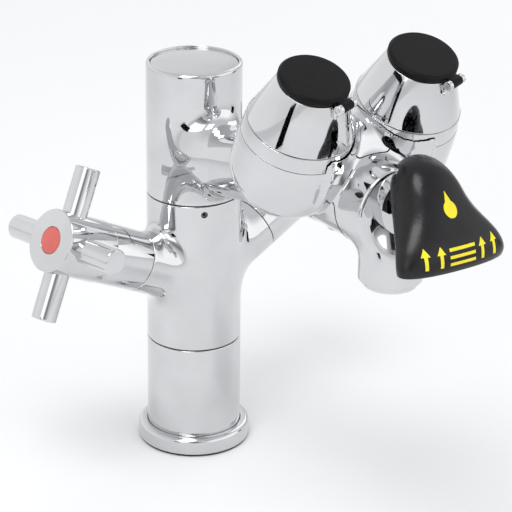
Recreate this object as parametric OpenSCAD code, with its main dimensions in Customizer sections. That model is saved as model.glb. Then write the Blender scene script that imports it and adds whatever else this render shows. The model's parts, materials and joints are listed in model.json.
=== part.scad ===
// Deck-mounted laboratory faucet with a twin-head eyewash.
// Origin: centre of the base on the deck. +Z up, the spout points along -Y.
// The hot handle is on -X and the cold handle on +X. Sizes in millimetres.

/* [Column] */
// Outer diameter of the column
col_d = 46; // [40:1:54]
// Wall of the lower column
col_wall = 3; // [2:0.5:4]
// Height of the seam below the valve body
lower_top = 55.6; // [48:0.1:68]
// Height of the valve body between its seams
body_h = 75.7; // [70:0.1:92]
// Height of the upper column, without its rounded rim
upper_h = 64; // [58:0.1:78]
// Thickness of the two seam seals
seal_t = 0.6; // [0.4:0.1:1.5]

/* [Base] */
// Outer diameter of the base flange
base_d = 55; // [54:1:70]
// Height of the base flange above its gasket
base_h = 8.4; // [6:0.2:12]
// Thickness of the deck gasket
gasket_t = 1; // [0.5:0.1:2]
// Distance between the two stud holes
stud_spacing = 27; // [24:0.5:28]
// Radius of a tapped stud hole
stud_hole_r = 3.4; // [2.5:0.1:3.6]
// Radius of a hose passage in the mounting plate
hose_pass_r = 6; // [5:0.1:6.4]
// Thickness of the mounting plate
plate_t = 8; // [5:0.5:12]

/* [Handles] */
// Turn of the handles from the neutral position under the spout, in degrees
body_turn = 6.7; // [0:0.1:15]
// Upward tilt of the handle axes, in degrees
handle_tilt = 25.8; // [15:0.1:35]
// Height at which the handle axes cross the column axis
handle_z = 86.1; // [81:0.1:95]
// Radius of the bosses and trim sleeves
boss_r = 14.5; // [13.5:0.1:16]
// Length of a boss along its axis
boss_l = 41.2; // [36:0.1:48]
// Length of a trim sleeve
sleeve_l = 24.1; // [18:0.1:28]
// Radius of a handle hub
hub_r = 15; // [14.5:0.1:18]
// Length of a handle hub
hub_l = 28.8; // [30:0.1:40]
// Distance from the hub face back to the cross arms
arm_back = 9.6; // [9:0.1:12]
// Reach of a cross arm from the hub axis
arm_reach = 37; // [30:0.2:50]
// Radius of a cross arm
arm_r = 6; // [4:0.1:6.4]
// Turn of the crosses at rest, in degrees
cross_turn = 4.7; // [0:1:45]
// Radius of the index button
button_r = 6.4; // [5:0.1:8]

/* [Spout] */
// Radius of the arm
arm_tube_r = 16.5; // [14:0.1:18]
// Rise of the arm, in degrees
arm_rise = 13; // [5:0.5:14]
// Reach of the outlet in front of the column axis
outlet_reach = 157.6; // [140:0.2:190]
// Radius of the outlet and its elbow
outlet_r = 14.2; // [13:0.1:16]
// Height of the outlet's lower edge
outlet_z = 143.2; // [135:0.1:146]
// Radius of the elbow's centre line
elbow_r = 22.6; // [20:0.1:30]
// Radius of the diverter housing
housing_r = 19.5; // [18:0.1:22]
// Height of the housing axis
housing_z = 175; // [170:0.1:182]
// Radius of the aerator collar
aerator_r = 11.7; // [11.4:0.1:12.6]

/* [Eyewash heads] */
// Distance between the two head axes
head_spacing = 57; // [54:0.2:75]
// Forward tilt of the heads, in degrees
head_tilt = 22.7; // [10:0.1:30]
// Distance of the cap centres in front of the column axis
cap_y = 138.5; // [125:0.1:160]
// Height of the cap centres
cap_z = 234.5; // [228:0.1:246]
// Radius of a dust cap
cap_r = 15.7; // [14:0.1:18]
// Thickness of a dust cap
cap_t = 3.4; // [2.5:0.1:4.5]
// Length of a conical head cover
cover_h = 21.6; // [18:0.1:26]
// Radius of the cover at its lower edge
cover_r = 23.4; // [21:0.1:24]
// Height of the lock ring below the cover
ring_h = 6.8; // [5:0.1:9]
// Outer radius of a cup
cup_r = 25; // [24.2:0.1:26]
// Wall of a cup
cup_wall = 3.5; // [2.5:0.1:5]
// Position of a dust cap's hinge round its head, in degrees from the front
hinge_turn = 18; // [0:1:30]

/* [Lift actuator] */
// Wall of the hood
hood_wall = 2.4; // [1.8:0.1:3]
// Half the width of the hood at its lip
hood_half_w = 27; // [24:0.1:32]
// Height of the hood's pivot
pivot_z = 189.5; // [186:0.1:192]
// Distance of the hood's pivot in front of the column axis
pivot_y = 174; // [172:0.1:186]
// Radius of the pivot pin
pin_r = 1.5; // [1.2:0.1:2]
// Distance from the pivot down to the diverter stem
stem_drop = 9; // [8:0.1:10]
// Radius of the diverter stem
stem_r = 2.5; // [2:0.1:2.8]

/* [Fits] */
// Radial clearance of a running fit
run_gap = 0.05; // [0.02:0.01:0.1]
// Gap between trim pieces that are seen as seams
trim_gap = 0.3; // [0.2:0.05:0.6]

/* [Hidden] */
$fn = 96;
eps = 0.01;
chrome = [0.86, 0.87, 0.88];
brass = [0.80, 0.66, 0.38];
black = [0.09, 0.09, 0.10];
rubber = [0.14, 0.14, 0.15];
clear_plastic = [0.80, 0.83, 0.86];
col_r = col_d / 2;
bore_r = col_r - col_wall;
body_z = lower_top;
body_top = body_z + body_h;
spout_z = body_top + seal_t / 2;
rim_z = body_top + upper_h;
rim_h = 2;
recess_r = col_r - 1.9;
recess_h = 4;
spigot_r = 14.9;
spigot_l = 12;
hose_x = 9;
screw_turn = -20;
inlet_r = 4.5;
inlet_l = 9;
check_r = 4;
port_r = 3;
cart_r = 9;
cart_root = 14;
stem_hole_l = boss_l + 14;
spindle_r = 4;
hub_z = boss_l + sleeve_l + 2 * trim_gap;
face_z = hub_z + hub_l;
arm_z = face_z - arm_back;
socket_root = hub_r - 4;
button_seat = 2.4;
bend_y = outlet_reach - elbow_r;
bend_z = housing_z - elbow_r;
housing_front = outlet_reach + 2.4;
housing_back = 112;
collar_h = 2.1;
stem_z = pivot_z - stem_drop;
bonnet_r = 13;
bonnet_t = 7;
bonnet_front = housing_front + bonnet_t;
valve_bore_r = 9;
sleeve_back = 118;
sleeve_front = 149;
head_x = head_spacing / 2;
cover_top = cap_t + 0.5;
cover_bottom = cover_top + cover_h;
ring_top = cover_bottom + trim_gap;
ring_bottom = ring_top + ring_h;
cup_top = ring_bottom + trim_gap;
cup_side = cup_top + 16;
cup_depth = cup_side + 21.5;
mouth_r = cap_r - 2.4;
hinge_r = cap_r + 2.3;
hinge_drop = cap_t - 0.2;
knuckle_r = 2.2;
knuckle_w = 6;
ear_w = 2;
cap_pin_r = 1;
ball_r = 2.4;
slot_gap = 0.75;
neck_l = 7.4;

// Points of an arc about c, from angle a0 to a1 in n steps
function arc(c, r, a0, a1, n) =
    [for (i = [0:n]) let (a = a0 + (a1 - a0) * i / n) c + r * [cos(a), sin(a)]];
// Points of a quarter ellipse from [rx, 0] to [0, -ry], moved down to depth z
function bowl(rx, ry, z, n) =
    [for (i = [0:n]) let (a = 90 * i / n) [rx * cos(a), z - ry * sin(a)]];

module tube(r1, r2, h) {
    difference() {
        cylinder(r = r1, h = h);
        translate([0, 0, -1]) cylinder(r = r2, h = h + 2);
    }
}
// The hot handle's frame: +Z runs out along the handle's axis
module hot_frame() {
    rotate([0, 0, body_turn]) translate([0, 0, handle_z]) rotate([0, handle_tilt - 90, 0])
        children();
}
module cold_frame() {
    rotate([0, 0, 2 * body_turn]) mirror([1, 0, 0]) hot_frame() children();
}
// A head's frame: origin at the top of its cap, +Z out along the spray
module head_frame(side) {
    translate([side * head_x, -cap_y, cap_z]) rotate([head_tilt, 0, 0]) children();
}
// A cap hinge's frame: +X along the pin, +Y away from the hinge towards the head
module cap_hinge_frame(side) {
    head_frame(side) rotate([0, 0, hinge_turn])
        translate([0, -hinge_r, -hinge_drop]) children();
}
// A rod along X, centred
module rod_x(r, l) {
    rotate([0, 90, 0]) cylinder(r = r, h = l, center = true);
}
// A rod that runs forward from y = -y0 to y = -y1 at height z
module rod_y(r, y0, y1, z) {
    translate([0, -y0, z]) rotate([90, 0, 0]) cylinder(r = r, h = y1 - y0);
}

// ---- base and column ----
module deck_gasket() {
    color(rubber) difference() {
        cylinder(r = base_d / 2 - 0.7, h = gasket_t);
        for (s = [-1, 1]) {
            translate([0, s * stud_spacing / 2, -1]) cylinder(r = stud_hole_r + 0.3, h = 3 + gasket_t);
            translate([s * hose_x, 0, -1]) cylinder(r = hose_pass_r, h = 3 + gasket_t);
        }
    }
}
module base_flange() {
    r0 = col_r + 0.15;
    r1 = base_d / 2;
    lip = 2.2;
    color(chrome) translate([0, 0, gasket_t]) rotate_extrude()
        polygon(concat([[r0, 0], [r1, 0]], arc([r1 - lip, base_h - lip], lip, 0, 90, 8),
            [[r1 - lip - 0.6, base_h], [r0 + 0.7, base_h - 1], [r0, base_h - 1.8]]));
}
module mounting_plate() {
    color(brass) translate([0, 0, gasket_t + 0.5]) difference() {
        cylinder(r = bore_r - run_gap, h = plate_t);
        for (s = [-1, 1]) {
            translate([0, s * stud_spacing / 2, -1]) cylinder(r = stud_hole_r, h = plate_t + 2);
            translate([s * hose_x, 0, -1]) cylinder(r = hose_pass_r, h = plate_t + 2);
        }
    }
}
module lower_column() {
    color(chrome) translate([0, 0, gasket_t])
        tube(col_r, bore_r, lower_top - seal_t / 2 - gasket_t);
}
module lower_seal() {
    color(rubber) translate([0, 0, lower_top - seal_t / 2])
        tube(col_r - 0.5, bore_r, seal_t);
}
module upper_seal() {
    color(rubber) translate([0, 0, body_top - seal_t / 2])
        tube(col_r - 0.5, spigot_r + 0.1, seal_t);
}

// ---- valve body and its inner pieces ----
module valve_body() {
    z0 = body_z + seal_t / 2;
    z1 = body_top - seal_t / 2;
    color(chrome) difference() {
        union() {
            translate([0, 0, z0]) cylinder(r = col_r, h = z1 - z0);
            translate([0, 0, z0 - 8]) cylinder(r = bore_r - run_gap, h = 8);
            hot_frame() cylinder(r = boss_r, h = boss_l);
            cold_frame() cylinder(r = boss_r, h = boss_l);
        }
        translate([0, 0, z0 - 8 - 1]) cylinder(r = bore_r - 3, h = 8 + 1);
        for (s = [-1, 1]) translate([s * hose_x, 0, z0 - 1]) {
            cylinder(r = inlet_r, h = inlet_l + 1);
            cylinder(r = check_r, h = inlet_l + 5);
            cylinder(r = port_r, h = handle_z - z0 + 3);
        }
        valve_chamber(z1);
        hot_frame() valve_seat();
        cold_frame() valve_seat();
        lock_screw_hole(z1);
    }
}
module valve_chamber(z1) {
    translate([0, 0, handle_z - port_r]) cylinder(r = 7, h = z1);
    translate([0, 0, z1 - spigot_l - 0.5]) cylinder(r = spigot_r + run_gap, h = spigot_l + 2);
}
module valve_seat() {
    cylinder(r = port_r, h = boss_l);
    translate([0, 0, cart_root - 1.5]) cylinder(r = cart_r + run_gap, h = boss_l);
}
module lock_screw_hole(z1) {
    rotate([0, 0, screw_turn]) translate([0, -col_r + 1, z1 - 4]) rotate([90, 0, 0])
        cylinder(r = 1.6, h = 18, center = true);
}
module spout_lock_screw() {
    z1 = body_top - seal_t / 2;
    color("dimgray") rotate([0, 0, screw_turn]) translate([0, -spigot_r - 0.2, z1 - 4])
        rotate([90, 0, 0]) difference() {
            cylinder(r = 1.6 - run_gap, h = 7);
            translate([0, 0, 5]) cylinder(r = 0.9, h = 3, $fn = 6);
        }
}
module check_valve() {
    z0 = body_z + seal_t / 2;
    color(clear_plastic) translate([-hose_x, 0, z0 + inlet_l]) difference() {
        cylinder(r = check_r - run_gap / 2, h = 4);
        translate([0, 0, -1]) cylinder(r = 2.4, h = 6);
    }
}
module hot_check_valve() { check_valve(); }
module cold_check_valve() { mirror([1, 0, 0]) check_valve(); }
module cartridge_washer() {
    color(rubber) translate([0, 0, cart_root - 1.5]) tube(cart_r - 0.2, port_r + 1, 1.5);
}
module hot_cartridge_washer() { hot_frame() cartridge_washer(); }
module cold_cartridge_washer() { cold_frame() cartridge_washer(); }
module cartridge() {
    color(brass) difference() {
        union() {
            translate([0, 0, cart_root]) cylinder(r = cart_r, h = boss_l - cart_root);
            translate([0, 0, boss_l]) cylinder(r = 11.8, h = 7, $fn = 6);
            translate([0, 0, boss_l + 7]) cylinder(r = 7, h = 7);
        }
        translate([0, 0, boss_l + 4]) cylinder(r = spindle_r + run_gap, h = 12);
        translate([0, 0, cart_root - 1]) cylinder(r = port_r, h = 8);
    }
}
module hot_cartridge() { hot_frame() cartridge(); }
module cold_cartridge() { cold_frame() cartridge(); }
module trim_sleeve() {
    color(chrome) translate([0, 0, boss_l + trim_gap]) difference() {
        cylinder(r = boss_r, h = sleeve_l);
        translate([0, 0, -1]) cylinder(r = 12.3, h = sleeve_l + 2);
    }
}
module hot_trim_sleeve() { hot_frame() trim_sleeve(); }
module cold_trim_sleeve() { cold_frame() trim_sleeve(); }

// ---- handles ----
module stem() {
    color(brass) translate([0, 0, boss_l + 4.5]) difference() {
        cylinder(r = spindle_r, h = arm_z - boss_l - 4.5);
        translate([0, 0, arm_z - boss_l - 16]) cylinder(r = 2, h = 20);
    }
}
module hot_stem() { hot_frame() stem(); }
module cold_stem() { cold_frame() stem(); }
module hub() {
    color(chrome) difference() {
        rotate_extrude() polygon([[0, hub_z], [hub_r, hub_z], [hub_r, face_z - 0.6],
            [hub_r - 0.6, face_z], [0, face_z]]);
        translate([0, 0, hub_z - 1]) cylinder(r = hub_r - 2.4, h = 12);
        translate([0, 0, hub_z]) cylinder(r = spindle_r + run_gap / 2, h = arm_z - hub_z + eps);
        cylinder(r = 2.1, h = face_z);
        translate([0, 0, arm_z + 2]) cylinder(r = 4.2, h = face_z);
        translate([0, 0, face_z - button_seat]) cylinder(r = button_r + 0.1, h = face_z);
        rotate([0, 0, cross_turn]) for (a = [0:90:270]) rotate([0, 0, a])
            translate([socket_root, 0, arm_z]) rotate([0, 90, 0])
                cylinder(r = arm_r + run_gap, h = hub_r);
    }
}
module hot_hub() { hot_frame() hub(); }
module cold_hub() { cold_frame() hub(); }
module cross_arms() {
    l = arm_reach - socket_root;
    color(chrome) rotate([0, 0, cross_turn]) for (a = [0:90:270]) rotate([0, 0, a])
        translate([socket_root, 0, arm_z]) rotate([0, 90, 0]) rotate_extrude()
            polygon([[0, 0.05], [arm_r, 0.05], [arm_r, l - 0.7], [arm_r - 0.7, l], [0, l]]);
}
module hot_cross_arms() { hot_frame() cross_arms(); }
module cold_cross_arms() { cold_frame() cross_arms(); }
module handle_screw() {
    color("silver") difference() {
        union() {
            translate([0, 0, arm_z + 2]) cylinder(r = 4, h = 2.6);
            translate([0, 0, arm_z - 9]) cylinder(r = 2 - 0.02, h = 11 + eps);
        }
        translate([-3, -0.5, arm_z + 3.6]) cube([6, 1, 2]);
        translate([-0.5, -3, arm_z + 3.6]) cube([1, 6, 2]);
    }
}
module hot_handle_screw() { hot_frame() handle_screw(); }
module cold_handle_screw() { cold_frame() handle_screw(); }
module index_button(c) {
    z0 = face_z - button_seat;
    color(c) rotate_extrude() polygon([[0, z0], [button_r, z0], [button_r, face_z - 0.1],
        [button_r - 0.8, face_z + 0.3], [0, face_z + 0.5]]);
}
module hot_index_button() { hot_frame() index_button("red"); }
module cold_index_button() { cold_frame() index_button("blue"); }

// ---- spout ----
module top_cap() {
    r = recess_r - 0.25;
    z = rim_z + rim_h - recess_h;
    color(chrome) rotate_extrude()
        polygon(concat([[0, z], [r, z]], arc([0, z + recess_h - 70 + 0.6], 70,
            acos(r / 70), 90, 6)));
}
module spigot_o_ring() {
    color(rubber) translate([0, 0, body_top - 8]) tube(spigot_r - 0.05, spigot_r - 1.6, 2);
}
module upper_column() {
    translate([0, 0, spout_z]) cylinder(r = col_r, h = rim_z - spout_z);
    rotate_extrude() polygon(concat([[0, rim_z - 1], [col_r, rim_z - 1], [col_r, rim_z]],
        arc([col_r - 1.6, rim_z], 1.6, 10, 90, 6), [[0, rim_z + 1.6]]));
    translate([0, 0, spout_z - spigot_l]) cylinder(r = spigot_r, h = spigot_l);
}
module arm_tube(r, l) {
    translate([0, 0, arm_root_z()]) rotate([90 - arm_rise, 0, 0]) cylinder(r = r, h = l);
}
function arm_root_z() = housing_z - tan(arm_rise) * housing_back - 1;
module elbow(r) {
    translate([0, -bend_y, bend_z]) rotate([90, 0, -90])
        rotate_extrude(angle = 90) translate([elbow_r, 0]) circle(r = r);
}
module cup_outside() {
    rotate_extrude() polygon(concat([[0, -cup_top], [cup_r - 0.6, -cup_top],
        [cup_r - 0.2, -cup_top - 3], [cup_r, -cup_top - 8]],
        bowl(cup_r, cup_depth - cup_side, -cup_side, 12)));
}
module cup_inside() {
    rotate_extrude() polygon(concat([[0, -cup_top + 1], [cup_r - cup_wall, -cup_top + 1]],
        bowl(cup_r - cup_wall, cup_depth - cup_side - cup_wall, -cup_side, 8)));
}
// The outer shape of a head's cover and lock ring, grown by the trim gap
module head_envelope() {
    g = trim_gap;
    translate([0, 0, -cup_top]) cylinder(r = cup_r - 0.6 + g, h = cup_top - cover_bottom);
    translate([0, 0, -cover_bottom]) cylinder(r1 = cover_r + g, r2 = cap_r - 0.4 + g, h = cover_h);
    translate([0, 0, -cover_top - eps]) cylinder(r = cap_r + 1, h = cover_top + 1);
}
// A saddle that flares along X from its waist into both cups
module bridge() {
    reach = head_x - 3;
    waist = 13;
    flare = 8;
    translate([0, -cap_y + 11, housing_z + 21]) rotate([0, 90, 0]) rotate_extrude()
        polygon(concat([[0, -reach]],
            [for (i = [-8:8]) [waist + flare * pow(abs(i) / 8, 2), reach * i / 8]],
            [[0, reach]]));
}
module spout_body() {
    color(chrome) difference() {
        union() {
            upper_column();
            arm_tube(arm_tube_r, housing_back / cos(arm_rise));
            translate([0, -housing_back, housing_z]) sphere(r = housing_r);
            rod_y(housing_r, housing_back, housing_front, housing_z);
            elbow(outlet_r);
            translate([0, -outlet_reach, outlet_z]) {
                cylinder(r1 = outlet_r - 1, r2 = outlet_r, h = 1);
                translate([0, 0, 1]) cylinder(r = outlet_r, h = bend_z - outlet_z - 1);
            }
            bridge();
            head_frame(-1) cup_outside();
            head_frame(1) cup_outside();
        }
        head_frame(-1) head_envelope();
        head_frame(1) head_envelope();
        head_frame(-1) cup_inside();
        head_frame(1) cup_inside();
        spout_waterways();
    }
}
module spout_waterways() {
    translate([0, 0, spout_z - spigot_l - 1]) cylinder(r = 9, h = 45 + spigot_l);
    translate([0, 0, body_top - 8]) tube(spigot_r + 2, spigot_r - 1.6, 2);
    translate([0, 0, rim_z + rim_h - recess_h]) cylinder(r = recess_r, h = recess_h + 1);
    arm_tube(8, sleeve_back / cos(arm_rise));
    rod_y(valve_bore_r, sleeve_back - 6, housing_front + 1, stem_z);
    rod_y(bonnet_r + trim_gap, housing_front, housing_front + 20, stem_z);
    translate([0, -outlet_reach, outlet_z - 1]) cylinder(r = 11, h = 11.5);
    translate([0, -outlet_reach + 5.5, outlet_z]) cylinder(r = 5, h = stem_z - outlet_z);
    translate([0, -sleeve_back - 7, stem_z]) rod_x(port_r + 0.4, head_x * 2 - 10);
}
module aerator_shell() {
    h = outlet_z - 0.1;
    color(chrome) translate([0, -outlet_reach, 0]) difference() {
        union() {
            translate([0, 0, h - collar_h]) cylinder(r = aerator_r, h = collar_h);
            translate([0, 0, h - eps]) cylinder(r = 11 - run_gap, h = 8);
        }
        translate([0, 0, h - collar_h - 1]) cylinder(r = 9.2, h = collar_h + 12);
    }
}
module aerator_insert() {
    color(clear_plastic) translate([0, -outlet_reach, outlet_z - 1.6]) difference() {
        cylinder(r = 9.15, h = 9.6);
        for (i = [0:7]) rotate([0, 0, 45 * i]) translate([5.6, 0, -1]) cylinder(r = 1.4, h = 12);
        translate([0, 0, -1]) cylinder(r = 1.6, h = 12);
    }
}
module aerator_washer() {
    color(rubber) translate([0, -outlet_reach, outlet_z + 8.1]) tube(10.7, 6.5, 2);
}

// ---- eyewash heads ----
module lock_ring() {
    color(chrome) difference() {
        translate([0, 0, -ring_bottom])
            cylinder(r1 = cup_r - 0.7, r2 = cover_r + 0.2, h = ring_h);
        translate([0, 0, -ring_bottom - 1]) cylinder(r = cup_r - cup_wall - 1, h = ring_h + 2);
    }
}
module left_lock_ring() { head_frame(-1) lock_ring(); }
module right_lock_ring() { head_frame(1) lock_ring(); }
module head_cover() {
    w = 2;
    color(chrome) difference() {
        union() {
            translate([0, 0, -cover_bottom])
                cylinder(r1 = cover_r, r2 = cap_r - 0.4, h = cover_h);
            rotate([0, 0, hinge_turn]) for (s = [-1, 1])
                translate([s * (knuckle_w + ear_w + 2 * trim_gap) / 2, 0, 0]) cover_ear();
        }
        translate([0, 0, -cover_bottom - eps])
            cylinder(r1 = cover_r - w, r2 = cap_r - 0.4 - w, h = cover_h + 2 * eps);
        rotate([0, 0, hinge_turn]) translate([0, -hinge_r, -hinge_drop])
            rod_x(cap_pin_r + run_gap, 40);
    }
}
module cover_ear() {
    translate([0, -hinge_r, -hinge_drop]) rod_x(knuckle_r, ear_w);
    translate([-ear_w / 2, -hinge_r, -hinge_drop - 5]) cube([ear_w, 2.6, 4.2]);
}
module left_head_cover() { head_frame(-1) head_cover(); }
module right_head_cover() { head_frame(1) head_cover(); }
module riser() {
    z0 = -cup_depth + cup_wall + 0.9;
    color(brass) difference() {
        union() {
            translate([0, 0, z0]) cylinder(r = 6, h = -cover_top - 10.3 - z0);
            translate([0, 0, -ring_bottom]) cylinder(r = cup_r - cup_wall - 1.1, h = 3);
        }
        translate([0, 0, z0 + 5]) cylinder(r = 3.6, h = 60);
        translate([0, 0, z0 + 10]) rod_x(3, 20);
    }
}
module left_riser() { head_frame(-1) riser(); }
module right_riser() { head_frame(1) riser(); }
module flow_disc() {
    color(rubber) translate([0, 0, -cover_top - 10.2]) tube(7.5, 1.5, 2);
}
module left_flow_disc() { head_frame(-1) flow_disc(); }
module right_flow_disc() { head_frame(1) flow_disc(); }
// A soft spray face with a ring of nozzles on a socket that holds the flow disc
module spray_insert() {
    z0 = -cover_top - 10.2;
    color(clear_plastic) difference() {
        union() {
            translate([0, 0, z0]) cylinder(r = 9, h = 6);
            translate([0, 0, -cover_top - 4.3]) cylinder(r = mouth_r - 0.4, h = 4);
        }
        translate([0, 0, z0 - 1]) cylinder(r = 7.6, h = 3.1);
        translate([0, 0, z0]) cylinder(r = 4, h = 7);
        translate([0, 0, z0]) cylinder(r = 1, h = 14);
        for (i = [0:11]) rotate([0, 0, 30 * i]) translate([3, 0, z0]) cylinder(r = 0.6, h = 14);
    }
}
module left_spray_insert() { head_frame(-1) spray_insert(); }
module right_spray_insert() { head_frame(1) spray_insert(); }
module dust_cap() {
    bevel = 1;
    color(black) difference() {
        union() {
            rotate_extrude() polygon([[0, -cap_t], [cap_r - 0.3, -cap_t], [cap_r, -cap_t + 0.4],
                [cap_r, -bevel], [cap_r - 0.5, -0.3], [cap_r - bevel, 0], [0, 0]]);
            rotate([0, 0, hinge_turn]) translate([0, -hinge_r, -hinge_drop]) {
                rod_x(knuckle_r, knuckle_w);
                translate([-knuckle_w / 2, 0, -0.1]) cube([knuckle_w, 4, 2.2]);
            }
        }
        rotate([0, 0, hinge_turn]) translate([0, -hinge_r, -hinge_drop])
            rod_x(cap_pin_r + run_gap, 40);
    }
}
module left_dust_cap() { head_frame(-1) dust_cap(); }
module right_dust_cap() { head_frame(1) dust_cap(); }
module cap_pin() {
    color("silver") rod_x(cap_pin_r, knuckle_w + 2 * ear_w + 2 * trim_gap + 0.4);
}
module left_cap_pin() { cap_hinge_frame(-1) cap_pin(); }
module right_cap_pin() { cap_hinge_frame(1) cap_pin(); }

// ---- diverter and lift hood ----
module diverter_sleeve() {
    color(brass) difference() {
        rod_y(valve_bore_r - run_gap, sleeve_back - 5.5, sleeve_front, stem_z);
        rod_y(5 + run_gap, sleeve_back - 7, sleeve_front + 1, stem_z);
        translate([0, -sleeve_back - 7, stem_z]) rod_x(port_r, 40);
        translate([0, -sleeve_back - 17, stem_z - 12]) cylinder(r = port_r, h = 12);
    }
}
module diverter_stem() {
    color(brass) difference() {
        union() {
            rod_y(stem_r, sleeve_back, pivot_y - neck_l, stem_z);
            rod_y(5, sleeve_back + 3.5, sleeve_back + 11.5, stem_z);
            rod_y(1.3, pivot_y - neck_l - 1, pivot_y, stem_z);
            translate([0, -pivot_y, stem_z]) sphere(r = ball_r);
        }
        difference() {
            rod_y(6, sleeve_back + 6.5, sleeve_back + 8.5, stem_z);
            rod_y(3.8, sleeve_back + 6, sleeve_back + 9, stem_z);
        }
    }
}
module diverter_o_ring() {
    color(rubber) difference() {
        rod_y(5, sleeve_back + 6.5, sleeve_back + 8.5, stem_z);
        rod_y(3.8, sleeve_back + 6, sleeve_back + 9, stem_z);
    }
}
module diverter_gland() {
    color(rubber) difference() {
        rod_y(4.5, housing_front + 1, housing_front + 3, stem_z);
        rod_y(stem_r + run_gap, housing_front, housing_front + 4, stem_z);
    }
}
module front_bonnet() {
    color(chrome) difference() {
        union() {
            rod_y(bonnet_r, housing_front, bonnet_front, stem_z);
            rod_y(valve_bore_r - run_gap, housing_front - 3, housing_front + eps, stem_z);
            translate([0, -pivot_y, pivot_z]) rod_x(3.6, 8);
            translate([-4, -pivot_y, pivot_z - 3.6])
                cube([8, pivot_y - bonnet_front + 1, 7.2]);
        }
        rod_y(stem_r + run_gap, housing_front - 4, bonnet_front + 1, stem_z);
        rod_y(4.5, housing_front + 1, housing_front + 3, stem_z);
        translate([0, -pivot_y, pivot_z]) rod_x(pin_r + run_gap, 20);
    }
}
// Stations down the hood: height, depth of the centre, half width, half depth
function hood_stations(g) = let (w = hood_half_w / 27, dy = pivot_y - 174, dz = pivot_z - 189.5)
    [for (s = [
        [205.2, 174.6, 1.5, 1.6], [204.4, 174.9, 4.6, 4.8], [202.5, 175.6, 8.2, 8.2],
        [199.4, 176.7, 11.2, 11.0], [195.2, 178.6, 13.7, 13.1], [190.0, 181.4, 15.6, 14.2],
        [185.4, 184.9, 17.8, 14.0], [181.6, 188.6, 20.3, 12.9], [178.0, 192.2, 22.9, 11.7],
        [174.4, 195.2, 25.1, 10.4], [170.6, 197.2, 26.6, 9.2], [167.4, 197.9, 27.0, 8.3],
        [165.2, 197.7, 26.5, 7.6]])
        [s[0] + dz - (s[0] > 200 ? g : 0) - (s[0] < 166 ? 3 * sign(g) : 0),
            s[1] + dy, s[2] * w - g, s[3] - g]];
// One closed outline of the hood at a station, a rounded shape flatter than an ellipse
function hood_ring(s, n) = [for (i = [0:n - 1])
    let (a = 360 * i / n, c = cos(a), d = sin(a), k = 0.86)
        [max(s[2], 0.3) * sign(c) * pow(abs(c), k),
            -s[1] - max(s[3], 0.3) * sign(d) * pow(abs(d), k), s[0]]];
module hood_solid(g, n = 40) {
    st = hood_stations(g);
    m = len(st);
    pts = [for (s = st) each hood_ring(s, n)];
    sides = [for (j = [0:m - 2], i = [0:n - 1])
        [j * n + i, (j + 1) * n + i, (j + 1) * n + (i + 1) % n, j * n + (i + 1) % n]];
    polyhedron(points = pts, faces = concat([[for (i = [0:n - 1]) i]], sides,
        [[for (i = [n - 1:-1:0]) (m - 1) * n + i]]));
}
// The open back of the hood: the cut seen from the side, and a window between the cheeks' sides
module hood_back() {
    outline = [[-168, 215], [-168, 187], [-171, 181], [-187, 175.5], [-192, 172],
        [-192, 150], [-140, 150], [-140, 215]];
    window = [[-193, 150], [-193, 176], [-184, 183], [-176, 190], [-173, 201], [-140, 201],
        [-140, 150]];
    hood_cut(outline, 80);
    hood_cut(window, 22);
}
module hood_cut(points, width) {
    translate([0, 174 - pivot_y, pivot_z - 189.5]) rotate([90, 0, 90])
        translate([0, 0, -width / 2]) linear_extrude(width) polygon(points);
}
// Cheeks that carry the pin and end inside the front wall, and pads behind the stem's ball
module hood_cheek(s) {
    y0 = ball_r + slot_gap;
    translate([s * 6.25, -pivot_y, pivot_z]) {
        rod_x(5, 2.5);
        rotate([90, 0, 90]) translate([0, 0, -1.25]) linear_extrude(2.5)
            polygon([[0, 5], [-16.6, 5], [-19.4, 0.5], [-27.7, -11.7], [-27.7, -stem_drop - 3],
                [5, -stem_drop - 3], [5, 4 - stem_drop], [0, 4 - stem_drop]]);
    }
    translate([s > 0 ? 1.8 : -7.5, -pivot_y + y0, stem_z - 3]) cube([5.7, 5 - y0, 6]);
}
module lift_hood() {
    color(black) difference() {
        union() {
            difference() {
                hood_solid(0);
                hood_solid(hood_wall);
                hood_back();
            }
            hood_cheek(-1);
            hood_cheek(1);
            translate([-6, -pivot_y - ball_r - slot_gap - 2, stem_z - 3]) cube([12, 2, 6]);
        }
        translate([0, -pivot_y, pivot_z]) rod_x(pin_r + run_gap / 2, 15.2);
    }
}
module hood_pivot_pin() {
    color("silver") translate([0, -pivot_y, pivot_z]) rod_x(pin_r, 15);
}

deck_gasket();
base_flange();
mounting_plate();
lower_column();
lower_seal();
valve_body();
hot_check_valve();
cold_check_valve();
hot_cartridge_washer();
cold_cartridge_washer();
hot_cartridge();
cold_cartridge();
hot_trim_sleeve();
cold_trim_sleeve();
hot_stem();
cold_stem();
hot_hub();
cold_hub();
hot_cross_arms();
cold_cross_arms();
hot_handle_screw();
cold_handle_screw();
hot_index_button();
cold_index_button();
upper_seal();
spigot_o_ring();
spout_lock_screw();
spout_body();
top_cap();
aerator_washer();
aerator_insert();
aerator_shell();
left_lock_ring();
right_lock_ring();
left_head_cover();
right_head_cover();
left_riser();
right_riser();
left_flow_disc();
right_flow_disc();
left_spray_insert();
right_spray_insert();
left_dust_cap();
right_dust_cap();
left_cap_pin();
right_cap_pin();
diverter_sleeve();
diverter_stem();
diverter_o_ring();
diverter_gland();
front_bonnet();
lift_hood();
hood_pivot_pin();
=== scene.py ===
import json
import math

import bmesh
import bpy
import numpy as np
from mathutils import Matrix, Vector

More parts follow.
